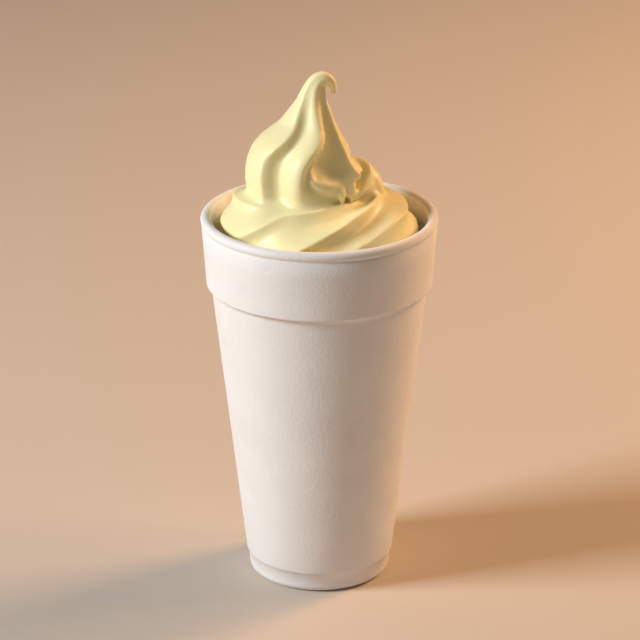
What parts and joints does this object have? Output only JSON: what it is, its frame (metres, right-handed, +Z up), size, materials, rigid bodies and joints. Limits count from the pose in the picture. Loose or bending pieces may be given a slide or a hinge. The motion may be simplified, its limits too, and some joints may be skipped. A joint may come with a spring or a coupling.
{
  "type": "pineapple soft serve milkshake in a foam cup",
  "caption": "Tapered foam cup with a raised collar, filled with pale yellow soft serve that coils up into a ridged swirl with a hooked tip.",
  "frame": {"origin": "centre of the cup's foot ring, on the surface that it stands on", "axes": "+Z up along the cup's axis, -Y towards the front of the swirl, +X to the right, where the tip hooks over"},
  "size_m": [0.092, 0.092, 0.2067],
  "materials": {
    "foam": "moulded bead foam, matte with a slight sheen",
    "soft_serve": "smooth frozen cream, satin, softly translucent"
  },
  "bodies": {
    "root": {"cup": "foam", "soft_serve": "soft_serve"}
  },
  "joints": []
}
